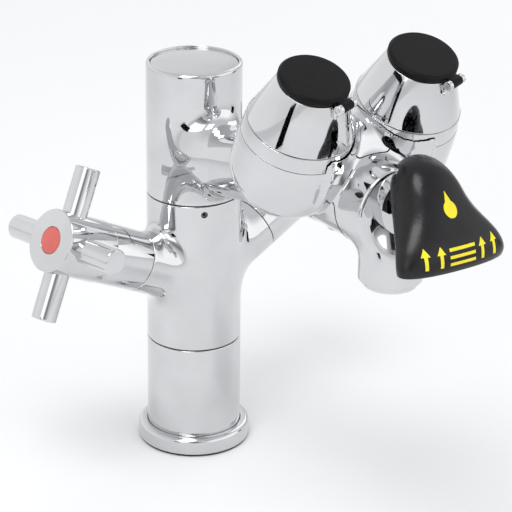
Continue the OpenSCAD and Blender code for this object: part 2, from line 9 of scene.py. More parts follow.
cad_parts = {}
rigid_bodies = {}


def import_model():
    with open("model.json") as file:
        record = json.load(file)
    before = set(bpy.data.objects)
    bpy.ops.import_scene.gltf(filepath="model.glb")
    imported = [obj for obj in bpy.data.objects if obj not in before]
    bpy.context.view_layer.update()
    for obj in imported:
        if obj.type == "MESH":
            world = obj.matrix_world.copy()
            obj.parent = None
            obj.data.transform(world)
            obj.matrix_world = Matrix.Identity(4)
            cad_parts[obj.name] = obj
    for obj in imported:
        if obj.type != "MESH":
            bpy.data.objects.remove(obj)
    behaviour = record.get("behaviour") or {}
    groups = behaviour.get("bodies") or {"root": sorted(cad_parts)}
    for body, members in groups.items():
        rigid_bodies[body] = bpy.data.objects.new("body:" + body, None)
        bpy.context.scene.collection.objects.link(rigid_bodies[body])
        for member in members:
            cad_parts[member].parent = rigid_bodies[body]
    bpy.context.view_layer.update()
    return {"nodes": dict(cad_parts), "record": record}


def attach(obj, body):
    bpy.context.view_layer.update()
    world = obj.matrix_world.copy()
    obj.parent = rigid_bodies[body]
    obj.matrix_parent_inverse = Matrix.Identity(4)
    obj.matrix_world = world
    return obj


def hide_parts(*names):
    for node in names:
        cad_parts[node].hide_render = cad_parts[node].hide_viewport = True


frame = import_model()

MM = 0.001
AXIS_X, AXIS_Y, AXIS_Z = "X", "Y", "Z"

# Column and base, in millimetres. A casting's rough rod runs past its cut ends.
COL_R = 23.0
GASKET = 1.0
BASE_R, BASE_H = 27.5, 8.4
LOWER_TOP = 55.3
BODY_LOW, BODY_HIGH = 55.9, 131.0
VALVE_LOW, VALVE_HIGH = 48, 139
SPOUT_LOW = 131.6
UPPER_LOW, UPPER_HIGH = 124, 204
RIM_Z, RIM_H = 195.3, 1.6
TOP_RECESS_R = 21.1

# Handles
BODY_TURN, HANDLE_TILT, HANDLE_Z = 6.7, 25.8, 86.1
BOSS_R, BOSS_L, SLEEVE_L, SEAM = 14.5, 41.2, 24.1, 0.3
HUB_R, HUB_L = 15.0, 28.8
HUB_Z = BOSS_L + SLEEVE_L + 2 * SEAM
FACE_Z = HUB_Z + HUB_L
ARM_Z, ARM_R, ARM_REACH, CROSS_TURN = FACE_Z - 9.6, 6.0, 37.0, 4.7
BUTTON_R = 6.4
BUTTON_SEAT = FACE_Z - 2.3
RIM_EDGE = 0.35

# Spout
ARM_TUBE_R, ARM_RISE = 16.5, 13.0
REACH, OUTLET_R, OUTLET_Z, ELBOW_R = 157.6, 14.2, 143.2, 22.6
HOUSING_R, HOUSING_Z, HOUSING_BACK, HOUSING_FRONT = 19.5, 175.0, 112.0, 160.0
BEND_Y, BEND_Z = REACH - ELBOW_R, HOUSING_Z - ELBOW_R
AERATOR_R, COLLAR_H = 11.7, 2.1
STEM_Z, BONNET_R, HOUSING_SEAM = 180.5, 13.0, 142.5

# Eyewash heads
HEAD_X, CAP_Y, CAP_Z, HEAD_TILT = 28.5, 138.5, 234.5, 22.7
CAP_R, CAP_T = 15.7, 3.4
COVER_TOP, COVER_LOW, COVER_R = 3.9, 25.5, 23.4
RING_TOP, RING_LOW = 25.8, 32.6
CUP_TOP, CUP_SIDE, CUP_R, CUP_DEEP = 32.9, 48.9, 25.0, 21.5
HINGE_TURN, HINGE_R, HINGE_DROP = 18.0, 18.0, 3.2

# Hood
PIVOT = (0.0, -174.0, 189.5)
HOOD_WALL = 2.4
HOOD_SQUARE = 0.86


def turn(axis, degrees):
    return Matrix.Rotation(math.radians(degrees), 4, axis)


def shift(x=0.0, y=0.0, z=0.0):
    return Matrix.Translation((x, y, z))


HOT = turn(AXIS_Z, BODY_TURN) @ shift(z=HANDLE_Z) @ turn(AXIS_Y, HANDLE_TILT - 90)
COLD = turn(AXIS_Z, BODY_TURN) @ shift(z=HANDLE_Z) @ turn(AXIS_Y, 90 - HANDLE_TILT)
HEADS = {
    side: shift(sign * HEAD_X, -CAP_Y, CAP_Z) @ turn(AXIS_X, HEAD_TILT)
    for side, sign in (("left", -1), ("right", 1))
}
UPRIGHT = Matrix.Identity(4)


# ---- camera ----
def main_camera():
    azimuth, elevation, roll = math.radians(-34.0), math.radians(23.45), math.radians(0.70)
    back = Vector((math.sin(azimuth) * math.cos(elevation),
                   -math.cos(azimuth) * math.cos(elevation), math.sin(elevation)))
    level = Vector((math.cos(azimuth), math.sin(azimuth), 0))
    rise = back.cross(level)
    right = level * math.cos(roll) + rise * math.sin(roll)
    up = rise * math.cos(roll) - level * math.sin(roll)
    data = bpy.data.cameras.new("camera")
    data.sensor_width, data.lens = 36.0, 168.75
    data.clip_start, data.clip_end = 0.05, 30.0
    cam = bpy.data.objects.new("camera", data)
    bpy.context.scene.collection.objects.link(cam)
    place = Vector((0, 0, 0.09612)) + right * 0.03024 + back * 1.171
    cam.matrix_world = Matrix.Translation(place) @ Matrix((right, up, back)).transposed().to_4x4()
    bpy.context.scene.camera = cam


main_camera()


# ---- finishes ----
def new_finish(name):
    made = bpy.data.materials.new(name)
    made.use_nodes = True
    nodes, links = made.node_tree.nodes, made.node_tree.links
    shader = nodes["Principled BSDF"]
    coords = nodes.new("ShaderNodeTexCoord")
    return made, nodes, links, shader, coords


def noise(nodes, links, coords, scale, detail=3.0, stretch=(1, 1, 1)):
    mapping = nodes.new("ShaderNodeMapping")
    mapping.inputs["Scale"].default_value = stretch
    texture = nodes.new("ShaderNodeTexNoise")
    texture.inputs["Scale"].default_value = scale
    texture.inputs["Detail"].default_value = detail
    links.new(coords.outputs["Object"], mapping.inputs["Vector"])
    links.new(mapping.outputs["Vector"], texture.inputs["Vector"])
    return texture


def spread(nodes, links, source, low, high):
    ramp = nodes.new("ShaderNodeMapRange")
    ramp.inputs["From Min"].default_value = 0.3
    ramp.inputs["From Max"].default_value = 0.7
    ramp.inputs["To Min"].default_value = low
    ramp.inputs["To Max"].default_value = high
    links.new(source, ramp.inputs["Value"])
    return ramp.outputs["Result"]


def tint(nodes, links, factor, dark, light):
    mix = nodes.new("ShaderNodeMix")
    mix.data_type = "RGBA"
    mix.inputs["A"].default_value = (*dark, 1)
    mix.inputs["B"].default_value = (*light, 1)
    links.new(factor, mix.inputs["Factor"])
    return mix.outputs["Result"]


def relief(nodes, links, shader, height, strength, distance):
    bump = nodes.new("ShaderNodeBump")
    bump.inputs["Strength"].default_value = strength
    bump.inputs["Distance"].default_value = distance
    links.new(height, bump.inputs["Height"])
    links.new(bump.outputs["Normal"], shader.inputs["Normal"])


def metal_finish(name, dark, light, rough, wave=0.03, wave_scale=28.0, stretch=(1, 1, 1)):
    made, nodes, links, shader, coords = new_finish(name)
    shader.inputs["Metallic"].default_value = 1.0
    cloud = noise(nodes, links, coords, 45.0)
    haze = noise(nodes, links, coords, 320.0, 5.0, stretch)
    links.new(tint(nodes, links, spread(nodes, links, cloud.outputs["Fac"], 0, 1), dark, light),
              shader.inputs["Base Color"])
    links.new(spread(nodes, links, haze.outputs["Fac"], *rough), shader.inputs["Roughness"])
    swell = noise(nodes, links, coords, wave_scale, 1.0)
    relief(nodes, links, shader, swell.outputs["Fac"], wave, 0.004)
    return made


def moulded_finish(name, dark, light, rough, grain=0.12, grain_scale=900.0,
                    shine=0.5):
    made, nodes, links, shader, coords = new_finish(name)
    cloud = noise(nodes, links, coords, 60.0)
    fine = noise(nodes, links, coords, grain_scale, 4.0)
    links.new(tint(nodes, links, spread(nodes, links, cloud.outputs["Fac"], 0, 1), dark, light),
              shader.inputs["Base Color"])
    links.new(spread(nodes, links, cloud.outputs["Fac"], *rough), shader.inputs["Roughness"])
    shader.inputs["Specular IOR Level"].default_value = shine
    relief(nodes, links, shader, fine.outputs["Fac"], grain, 0.0004)
    return made


CHROME = metal_finish("polished_chrome", (0.61, 0.615, 0.625), (0.67, 0.675, 0.685), (0.03, 0.075))
BRASS = metal_finish("turned_brass", (0.60, 0.42, 0.17), (0.78, 0.58, 0.27), (0.22, 0.38), 0.1)
STEEL = metal_finish("plain_steel", (0.48, 0.48, 0.49), (0.62, 0.62, 0.63), (0.2, 0.4), 0.1,
                     stretch=(1, 1, 8))
DARK_STEEL = metal_finish("screw_steel", (0.10, 0.10, 0.11), (0.2, 0.2, 0.21), (0.3, 0.5), 0.1)
BLACK = moulded_finish("satin_black", (0.006, 0.006, 0.007), (0.013, 0.013, 0.014), (0.2, 0.3),
                       shine=0.3)
CAP_BLACK = moulded_finish("cap_black", (0.004, 0.004, 0.004), (0.008, 0.008, 0.009),
                           (0.4, 0.52), 0.2, 700.0, 0.12)
RUBBER = moulded_finish("seal_rubber", (0.012, 0.012, 0.012), (0.03, 0.03, 0.03), (0.6, 0.8), 0.3)
PLASTIC = moulded_finish("spray_plastic", (0.55, 0.57, 0.58), (0.72, 0.74, 0.75), (0.3, 0.45))
RED = moulded_finish("index_red", (0.56, 0.09, 0.075), (0.68, 0.14, 0.115), (0.25, 0.4), 0.1)
BLUE = moulded_finish("index_blue", (0.02, 0.07, 0.42), (0.04, 0.12, 0.60), (0.25, 0.4), 0.1)
YELLOW = moulded_finish("pad_print_yellow", (0.80, 0.66, 0.01), (0.92, 0.80, 0.02), (0.4, 0.55))


# ---- making pieces ----
def mesh_from(bm, name):
    mesh = bpy.data.meshes.new(name)
    bm.to_mesh(mesh)
    bm.free()
    return mesh


def linked(name, data):
    made = bpy.data.objects.new(name, data)
    bpy.context.scene.collection.objects.link(made)
    return made


def add_piece(name, mesh, body, finish, stands_for=()):
    made = linked(name, mesh)
    mesh.materials.clear()
    mesh.materials.append(finish)
    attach(made, body)
    if stands_for:
        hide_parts(*stands_for)
    return made


def shade(bm, sharp):
    limit = math.radians(sharp)
    for face in bm.faces:
        face.smooth = True
    for edge in bm.edges:
        edge.smooth = len(edge.link_faces) == 2 and edge.calc_face_angle(0) < limit


def close_up(bm, name, at=UPRIGHT, sharp=38):
    """Merges doubles, turns the faces outwards, sets the place in metres and gives the mesh."""
    bmesh.ops.remove_doubles(bm, verts=bm.verts, dist=1e-4)
    bmesh.ops.recalc_face_normals(bm, faces=bm.faces)
    bmesh.ops.transform(bm, matrix=Matrix.Scale(MM, 4) @ at, verts=bm.verts)
    shade(bm, sharp)
    return mesh_from(bm, name)


def rounded(points, closed, steps=5):
    """A lathe profile: corners (r, z, radius) become arcs."""
    out, n = [], len(points)
    for i, point in enumerate(points):
        if len(point) == 2 or (not closed and i in (0, n - 1)):
            out.append(point[:2])
            continue
        before, here, after = (Vector(points[(i + k) % n][:2]) for k in (-1, 0, 1))
        a, b = (before - here).normalized(), (after - here).normalized()
        half = a.angle(b) / 2
        centre = here + (a + b).normalized() * (point[2] / math.sin(half))
        start, end = (here + side * (point[2] / math.tan(half)) - centre for side in (a, b))
        from_angle = math.atan2(start.y, start.x)
        sweep = (math.atan2(end.y, end.x) - from_angle + math.pi) % (2 * math.pi) - math.pi
        for k in range(steps + 1):
            angle = from_angle + sweep * k / steps
            out.append((centre.x + point[2] * math.cos(angle),
                        centre.y + point[2] * math.sin(angle)))
    return out


def lathe(bm, profile, closed=False, steps=128, at=UPRIGHT):
    """Spins a profile of (r, z) round +Z. A closed profile is a ring's section."""
    line = rounded(profile, closed)
    fresh = bmesh.new()
    verts = [fresh.verts.new((r, 0, z)) for r, z in line]
    for k in range(len(verts) - (0 if closed else 1)):
        fresh.edges.new((verts[k], verts[(k + 1) % len(verts)]))
    bmesh.ops.spin(fresh, geom=fresh.verts[:] + fresh.edges[:], cent=(0, 0, 0),
                   axis=(0, 0, 1), angle=2 * math.pi, steps=steps, use_merge=True)
    bmesh.ops.remove_doubles(fresh, verts=fresh.verts, dist=1e-4)
    bmesh.ops.recalc_face_normals(fresh, faces=fresh.faces)
    bmesh.ops.transform(fresh, matrix=at, verts=fresh.verts)
    join(bm, fresh)


def join(bm, fresh):
    carrier = bpy.data.meshes.new("carrier")
    fresh.to_mesh(carrier)
    fresh.free()
    bm.from_mesh(carrier)
    bpy.data.meshes.remove(carrier)


def rod(bm, radius, length, at, edge=0.25, steps=64):
    """A rod along +Z of its frame, centred, with slightly rounded ends."""
    half = length / 2
    lathe(bm, [(0, -half), (radius, -half, edge), (radius, half, edge), (0, half)], False,
          steps, at)


def block(bm, low, high, at=UPRIGHT, edge=0.3):
    """A box between two corners with bevelled edges."""
    fresh = bmesh.new()
    size = [h - l for l, h in zip(low, high)]
    bmesh.ops.create_cube(fresh, size=1)
    bmesh.ops.scale(fresh, vec=size, verts=fresh.verts)
    bmesh.ops.translate(fresh, vec=[(l + h) / 2 for l, h in zip(low, high)], verts=fresh.verts)
    bmesh.ops.bevel(fresh, geom=fresh.edges[:], offset=edge, offset_type="OFFSET", segments=2,
                    profile=0.5, affect="EDGES", material=-1)
    bmesh.ops.transform(fresh, matrix=at, verts=fresh.verts)
    join(bm, fresh)


def plate(bm, outline, low, high, edge=0.3):
    """An outline of (y, z) points made a plate between x = low and x = high."""
    fresh = bmesh.new()
    face = fresh.faces.new([fresh.verts.new((low, y, z)) for y, z in outline])
    grown = bmesh.ops.extrude_face_region(fresh, geom=[face])["geom"]
    bmesh.ops.translate(fresh, vec=(high - low, 0, 0),
                        verts=[g for g in grown if isinstance(g, bmesh.types.BMVert)])
    bmesh.ops.recalc_face_normals(fresh, faces=fresh.faces)
    if edge:
        bmesh.ops.bevel(fresh, geom=fresh.edges[:], offset=edge, offset_type="OFFSET",
                        segments=2, profile=0.5, affect="EDGES", material=-1)
    join(bm, fresh)


def lathe_piece(name, profile, body, finish, stands_for, at=UPRIGHT, closed=False,
                sharp=38, steps=128):
    bm = bmesh.new()
    lathe(bm, profile, closed, steps)
    return add_piece(name, close_up(bm, name, at, sharp), body, finish, stands_for)


def smooth_copy(node, body, finish, sharp=30):
    """A merged, smooth-shaded copy of a machined part that stands for it."""
    bm = bmesh.new()
    bm.from_mesh(frame["nodes"][node].data)
    bmesh.ops.remove_doubles(bm, verts=bm.verts, dist=2e-6)
    bmesh.ops.dissolve_degenerate(bm, edges=bm.edges, dist=1e-6)
    shade(bm, sharp)
    name = node + "_part"
    return add_piece(name, mesh_from(bm, name), body, finish, (node,))


# ---- castings: solids joined with rounded blends ----
def meet(a, b, radius):
    """The lower of two distances, with a rounded blend where they cross."""
    part = np.clip(radius - np.abs(a - b), 0, None) / radius
    return np.minimum(a, b) - part * part * radius / 4


def to_frame(points, at):
    back = np.array(at.inverted())
    return points @ back[:3, :3].T + back[:3, 3]


def far_from_rod(points, at, radius, low, high, edge=0.0):
    """Distance to a rod along +Z of a frame, from low to high."""
    local = to_frame(points, at)
    across = np.hypot(local[:, 0], local[:, 1]) - radius + edge
    along = np.maximum(low - local[:, 2], local[:, 2] - high) + edge
    outside = np.hypot(np.clip(across, 0, None), np.clip(along, 0, None))
    return np.minimum(np.maximum(across, along), 0) + outside - edge


def settle(mesh, distance, rounds=4, reach=1.2):
    """Moves the vertices of a mesh in millimetres onto the surface where distance is zero."""
    count = len(mesh.vertices)
    points = np.zeros(count * 3)
    mesh.vertices.foreach_get("co", points)
    points = points.reshape(-1, 3)
    for _ in range(rounds):
        value, slope = distance(points), slopes(points, distance)
        step = value[:, None] * slope / np.clip((slope ** 2).sum(1), 0.05, None)[:, None]
        size = np.linalg.norm(step, axis=1)[:, None]
        points = points - step * np.minimum(1, reach / np.maximum(size, 1e-9))
    mesh.vertices.foreach_set("co", points.ravel())
    mesh.update()


def slopes(points, distance, step=0.02):
    return np.stack([(distance(points + off) - distance(points - off)) / (2 * step)
                     for off in np.eye(3) * step], axis=1)


def applied(obj):
    """The object's mesh with its modifiers applied; the object itself is removed."""
    view = bpy.context.evaluated_depsgraph_get()
    mesh = bpy.data.meshes.new_from_object(obj.evaluated_get(view), depsgraph=view)
    old = obj.data
    bpy.data.objects.remove(obj)
    bpy.data.meshes.remove(old)
    return mesh


def cast(name, rough_shape, distance, cutters, voxel, smoothing=2):
    """Fuses rough solids, draws the skin onto the blended surface, then cuts it.
    Everything here is in millimetres."""
    work = linked(name, mesh_from(rough_shape, name))
    fuse = work.modifiers.new("fuse", "REMESH")
    fuse.mode, fuse.voxel_size, fuse.adaptivity = "VOXEL", voxel, 0.0
    mesh = applied(work)
    settle(mesh, distance)
    for _ in range(smoothing):
        bm = bmesh.new()
        bm.from_mesh(mesh)
        bmesh.ops.smooth_vert(bm, verts=bm.verts, factor=0.5, use_axis_x=True,
                              use_axis_y=True, use_axis_z=True)
        bm.to_mesh(mesh)
        bm.free()
        settle(mesh, distance, 2)
    work = linked(name, mesh)
    bmesh.ops.recalc_face_normals(cutters, faces=cutters.faces)
    tool_mesh = mesh_from(cutters, name + "_cutters")
    tool = linked(name + "_cutters", tool_mesh)
    cut = work.modifiers.new("cut", "BOOLEAN")
    cut.operation, cut.solver, cut.object = "DIFFERENCE", "EXACT", tool
    mesh = applied(work)
    bpy.data.objects.remove(tool)
    bpy.data.meshes.remove(tool_mesh)
    return mesh


def dress_casting(mesh, distance, sharp=30):
    """Smooth shading with the true normals of the blended surface."""
    bm = bmesh.new()
    bm.from_mesh(mesh)
    bmesh.ops.remove_doubles(bm, verts=bm.verts, dist=1e-4)
    shade(bm, sharp)
    bm.to_mesh(mesh)
    bm.free()
    count = len(mesh.vertices)
    points = np.zeros(count * 3)
    mesh.vertices.foreach_get("co", points)
    points = points.reshape(-1, 3)
    on_skin = np.abs(distance(points)) < 0.02
    normal = slopes(points, distance)
    normal /= np.maximum(np.linalg.norm(normal, axis=1), 1e-9)[:, None]
    corner_vertex = np.zeros(len(mesh.loops), np.int64)
    mesh.loops.foreach_get("vertex_index", corner_vertex)
    face_normal = np.zeros(len(mesh.polygons) * 3)
    mesh.polygons.foreach_get("normal", face_normal)
    sizes = np.zeros(len(mesh.polygons), np.int64)
    mesh.polygons.foreach_get("loop_total", sizes)
    per_corner = np.repeat(face_normal.reshape(-1, 3), sizes, axis=0)
    wanted = normal[corner_vertex]
    keep = on_skin[corner_vertex] & ((wanted * per_corner).sum(1) > 0.85)
    wanted[~keep] = per_corner[~keep]
    mesh.normals_split_custom_set(wanted.tolist())
    mesh.transform(Matrix.Scale(MM, 4))
    return mesh


def rough_rod(bm, radius, at, low, high):
    bmesh.ops.create_cone(bm, cap_ends=True, segments=96, radius1=radius, radius2=radius,
                          depth=high - low, matrix=at @ shift(z=(low + high) / 2))


# Valve body: the column with its two inclined bosses
def valve_distance(points):
    column = far_from_rod(points, UPRIGHT, COL_R, VALVE_LOW, VALVE_HIGH)
    for at in (HOT, COLD):
        column = meet(column, far_from_rod(points, at, BOSS_R, 0, BOSS_L + 6), 9.0)
    return column


def make_valve_body():
    rough, cutters = bmesh.new(), bmesh.new()
    rough_rod(rough, COL_R, UPRIGHT, VALVE_LOW, VALVE_HIGH)
    rough_rod(cutters, 40, UPRIGHT, 40, BODY_LOW + 2)
    rough_rod(cutters, 40, UPRIGHT, BODY_HIGH - 2, 150)
    for at in (HOT, COLD):
        rough_rod(rough, BOSS_R, at, 0, BOSS_L + 6)
        rough_rod(cutters, 22, at, BOSS_L - 2, BOSS_L + 12)
    screw = turn(AXIS_Z, -20) @ shift(y=-COL_R, z=BODY_HIGH - 4) @ turn(AXIS_X, 90)
    rough_rod(cutters, 1.65, screw, -6, 6)
    mesh = cast("valve_casting", rough, valve_distance, cutters, 0.8)
    add_piece("valve_casting", dress_casting(mesh, valve_distance), "base", CHROME,
              ("valve_body",))
    bm = bmesh.new()
    lathe(bm, [(17, BODY_LOW), (COL_R, BODY_LOW, RIM_EDGE), (COL_R, BODY_LOW + 2),
               (17, BODY_LOW + 2)], True)
    lathe(bm, [(15, BODY_HIGH - 2), (COL_R, BODY_HIGH - 2), (COL_R, BODY_HIGH, RIM_EDGE),
               (15, BODY_HIGH)], True)
    for at in (HOT, COLD):
        lathe(bm, [(9.2, BOSS_L - 2), (BOSS_R, BOSS_L - 2), (BOSS_R, BOSS_L, RIM_EDGE),
                   (9.2, BOSS_L)], True, 96, at)
    add_piece("valve_rims", close_up(bm, "valve_rims"), "base", CHROME)


# Spout: upper column, arm, housing, elbow, outlet, saddle and cups
ARM_FRAME = shift(z=HOUSING_Z - math.tan(math.radians(ARM_RISE)) * HOUSING_BACK - 1) \
    @ turn(AXIS_X, 90 - ARM_RISE)
ARM_LENGTH = HOUSING_BACK / math.cos(math.radians(ARM_RISE))
HOUSING_FRAME = shift(z=HOUSING_Z) @ turn(AXIS_X, 90)
OUTLET_FRAME = shift(y=-REACH)
SADDLE = (0.0, -CAP_Y + 11, HOUSING_Z + 21)
SADDLE_REACH, SADDLE_WAIST, SADDLE_FLARE = HEAD_X - 3, 13.0, 8.0


def elbow_distance(points):
    y, z = -points[:, 1] - BEND_Y, points[:, 2] - BEND_Z
    angle = np.clip(np.arctan2(z, y), 0, math.pi / 2)
    off = np.hypot(y - ELBOW_R * np.cos(angle), z - ELBOW_R * np.sin(angle))
    return np.hypot(points[:, 0], off) - OUTLET_R


def cup_distance(points, at):
    local = to_frame(points, at)
    radial, depth = np.hypot(local[:, 0], local[:, 1]), -local[:, 2]
    lip = np.interp(depth, [CUP_TOP - 6, CUP_TOP, CUP_TOP + 3, CUP_TOP + 8],
                    [CUP_R - 0.6, CUP_R - 0.6, CUP_R - 0.2, CUP_R])
    wall = np.maximum(radial - lip, CUP_TOP - 5 - depth)
    oval = np.hypot(radial / CUP_R, (depth - CUP_SIDE) / CUP_DEEP)
    bowl = (oval - 1) * CUP_DEEP
    return np.where(depth < CUP_SIDE, wall, bowl)


def saddle_distance(points):
    x = points[:, 0]
    radial = np.hypot(points[:, 1] - SADDLE[1], points[:, 2] - SADDLE[2])
    share = np.clip(np.abs(x) / SADDLE_REACH, 0, 1)
    slant = np.sqrt(1 + (2 * SADDLE_FLARE * share / SADDLE_REACH) ** 2)
    return np.maximum((radial - SADDLE_WAIST - SADDLE_FLARE * share ** 2) / slant,
                      np.abs(x) - SADDLE_REACH)


def spout_distance(points):
    skin = far_from_rod(points, UPRIGHT, COL_R, UPPER_LOW, UPPER_HIGH)
    skin = meet(skin, far_from_rod(points, ARM_FRAME, ARM_TUBE_R, 0, ARM_LENGTH), 12.0)
    back = np.linalg.norm(points - np.array([0, -HOUSING_BACK, HOUSING_Z]), axis=1) - HOUSING_R
    housing = np.minimum(back, far_from_rod(points, HOUSING_FRAME, HOUSING_R, HOUSING_BACK,
                                            HOUSING_FRONT, 1.5))
    skin = meet(skin, housing, 6.0)
    tail = np.minimum(elbow_distance(points),
                      far_from_rod(points, OUTLET_FRAME, OUTLET_R, OUTLET_Z - 4, BEND_Z))
    skin = meet(skin, tail, 5.0)
    skin = meet(skin, saddle_distance(points), 7.0)
    for at in HEADS.values():
        skin = meet(skin, cup_distance(points, at), 5.0)
    return skin


def make_spout_body():
    rough, cutters = bmesh.new(), bmesh.new()
    rough_rod(rough, COL_R, UPRIGHT, UPPER_LOW, UPPER_HIGH)
    rough_rod(rough, ARM_TUBE_R, ARM_FRAME, 0, ARM_LENGTH)
    bmesh.ops.create_uvsphere(rough, u_segments=48, v_segments=32, radius=HOUSING_R,
                              matrix=shift(0, -HOUSING_BACK, HOUSING_Z))
    rough_rod(rough, HOUSING_R, HOUSING_FRAME, HOUSING_BACK, HOUSING_FRONT)
    rough_rod(rough, OUTLET_R, OUTLET_FRAME, OUTLET_Z - 4, BEND_Z)
    for k in range(7):
        angle = math.radians(15 * k)
        bmesh.ops.create_uvsphere(
            rough, u_segments=32, v_segments=24, radius=OUTLET_R,
            matrix=shift(0, -BEND_Y - ELBOW_R * math.cos(angle),
                         BEND_Z + ELBOW_R * math.sin(angle)))
    lathe(rough, [(0, -SADDLE_REACH)] + [
        (SADDLE_WAIST + SADDLE_FLARE * (k / 8) ** 2, SADDLE_REACH * k / 8) for k in range(-8, 9)
    ] + [(0, SADDLE_REACH)], False, 64, shift(*SADDLE) @ turn(AXIS_Y, 90))
    for at in HEADS.values():
        lathe(rough, [(0, -CUP_TOP + 5), (CUP_R - 0.6, -CUP_TOP + 5), (CUP_R, -CUP_SIDE)] + [
            (CUP_R * math.cos(a), -CUP_SIDE - CUP_DEEP * math.sin(a))
            for a in (math.radians(6 * k) for k in range(1, 15))] + [(0, -CUP_SIDE - CUP_DEEP)],
            False, 64, at)
        lathe(cutters, [(0, -CUP_TOP), (CUP_R - 0.45, -CUP_TOP), (CUP_R - 0.45, -CUP_TOP + 5.2),
                        (COVER_R + 0.35, -RING_TOP),
                        (COVER_R + 0.08, -COVER_LOW), (CAP_R - 0.32, -COVER_TOP),
                        (CAP_R + 1, -COVER_TOP + 0.2), (CAP_R + 1, 2), (0, 2)], False, 96, at)
    rough_rod(cutters, 30, UPRIGHT, RIM_Z - 2, 215)
    rough_rod(cutters, 30, UPRIGHT, 110, SPOUT_LOW + 2)
    rough_rod(cutters, 20, OUTLET_FRAME, 125, OUTLET_Z + 3)
    rough_rod(cutters, BONNET_R + 0.3, shift(z=STEM_Z) @ turn(AXIS_X, 90), HOUSING_FRONT, 190)
    mesh = cast("spout_casting", rough, spout_distance, cutters, 0.85)
    add_piece("spout_casting", dress_casting(mesh, spout_distance), "spout", CHROME,
              ("spout_body",))
    bm = bmesh.new()
    lathe(bm, [(TOP_RECESS_R - 0.2, RIM_Z - 2.4), (18, RIM_Z - 2.4), (18, RIM_Z - 3),
               (COL_R - 0.2, RIM_Z - 3), (COL_R, RIM_Z - 2), (COL_R, RIM_Z + RIM_H, 1.5),
               (TOP_RECESS_R, RIM_Z + RIM_H, 0.3)], True)
    lathe(bm, [(15, SPOUT_LOW), (COL_R, SPOUT_LOW, RIM_EDGE), (COL_R, SPOUT_LOW + 2),
               (15, SPOUT_LOW + 2)], True)
    lathe(bm, [(11.05, OUTLET_Z), (OUTLET_R - 0.9, OUTLET_Z, 0.3), (OUTLET_R, OUTLET_Z + 1.2, 0.8),
               (OUTLET_R, OUTLET_Z + 3), (11.05, OUTLET_Z + 3)], True, 96, OUTLET_FRAME)
    add_piece("spout_rims", close_up(bm, "spout_rims"), "spout", CHROME)


make_valve_body()
make_spout_body()


# ---- turned chrome pieces ----
def make_column_pieces():
    foot_high, cap_edge, seat = GASKET + BASE_H, TOP_RECESS_R - 0.3, OUTLET_Z - 0.1
    lathe_piece("base_ring", [(COL_R + 0.15, GASKET), (BASE_R, GASKET, 0.4),
                              (BASE_R, foot_high, 2.2), (COL_R + 0.15, foot_high - 0.4, 0.6)],
                "base", CHROME, ("base_flange",), closed=True)
    lathe_piece("column_foot", [(20, GASKET), (COL_R, GASKET), (COL_R, LOWER_TOP, RIM_EDGE),
                                (20, LOWER_TOP)],
                "base", CHROME, ("lower_column",), closed=True)
    lathe_piece("column_top", [(0, RIM_Z - 0.4), (cap_edge, RIM_Z - 0.4),
                               (cap_edge, RIM_Z + 0.55, RIM_EDGE), (16, RIM_Z + 1.0),
                               (9, RIM_Z + 1.35), (0, RIM_Z + 1.5)],
                "spout", CHROME, ("top_cap",))
    lathe_piece("aerator_collar", [(9.2, seat - COLLAR_H), (AERATOR_R, seat - COLLAR_H, 0.5),
                                   (AERATOR_R, seat), (10.95, seat),
                                   (10.95, OUTLET_Z + 7.9), (9.2, OUTLET_Z + 7.9)],
                "spout", CHROME, ("aerator_shell",), at=OUTLET_FRAME, closed=True)


def make_handle(handle, at, spin, finish):
    body, low, high = handle + "_handle", BOSS_L + SEAM, BOSS_L + SEAM + SLEEVE_L
    lathe_piece(handle + "_sleeve", [(12.3, low), (BOSS_R, low, RIM_EDGE),
                                     (BOSS_R, high, RIM_EDGE), (12.3, high)],
                "base", CHROME, (handle + "_trim_sleeve",), at, True)
    lathe_piece(handle + "_hub_shell", [(12.6, HUB_Z), (HUB_R, HUB_Z, RIM_EDGE),
                                        (HUB_R, FACE_Z, 0.8), (BUTTON_R + 0.15, FACE_Z, 0.2),
                                        (BUTTON_R + 0.15, BUTTON_SEAT), (0, BUTTON_SEAT),
                                        (0, FACE_Z - 6), (12.6, FACE_Z - 6)],
                body, CHROME, (handle + "_hub",), at)
    bm = bmesh.new()
    for quarter in range(4):
        lathe(bm, [(0, HUB_R - 4), (ARM_R, HUB_R - 4), (ARM_R, ARM_REACH, 0.9), (0, ARM_REACH)],
              False, 96, turn(AXIS_Z, spin + 90 * quarter) @ shift(z=ARM_Z) @ turn(AXIS_Y, 90))
    add_piece(handle + "_arms", close_up(bm, handle + "_arms", at), body, CHROME,
              (handle + "_cross_arms",))
    lathe_piece(handle + "_index", [(0, BUTTON_SEAT), (BUTTON_R, BUTTON_SEAT),
                                    (BUTTON_R, FACE_Z + 0.15, 0.5), (0, FACE_Z + 0.5)],
                body, finish, (handle + "_index_button",), at)


make_column_pieces()
make_handle("hot", HOT, CROSS_TURN, RED)
make_handle("cold", COLD, -CROSS_TURN, BLUE)


# The dark joint line round the housing, where its front shell meets the spout
def skin_radius(angle):
    """How far the casting's skin is from the housing's axis in the plane of the joint."""
    out = np.linspace(HOUSING_R - 1, 26, 240)
    points = np.stack([out * math.cos(angle), np.full(240, -HOUSING_SEAM),
                       HOUSING_Z + out * math.sin(angle)], axis=1)
    clear = np.nonzero(spout_distance(points) > 0)[0]
    return out[clear[0]] if len(clear) else HOUSING_R - 3


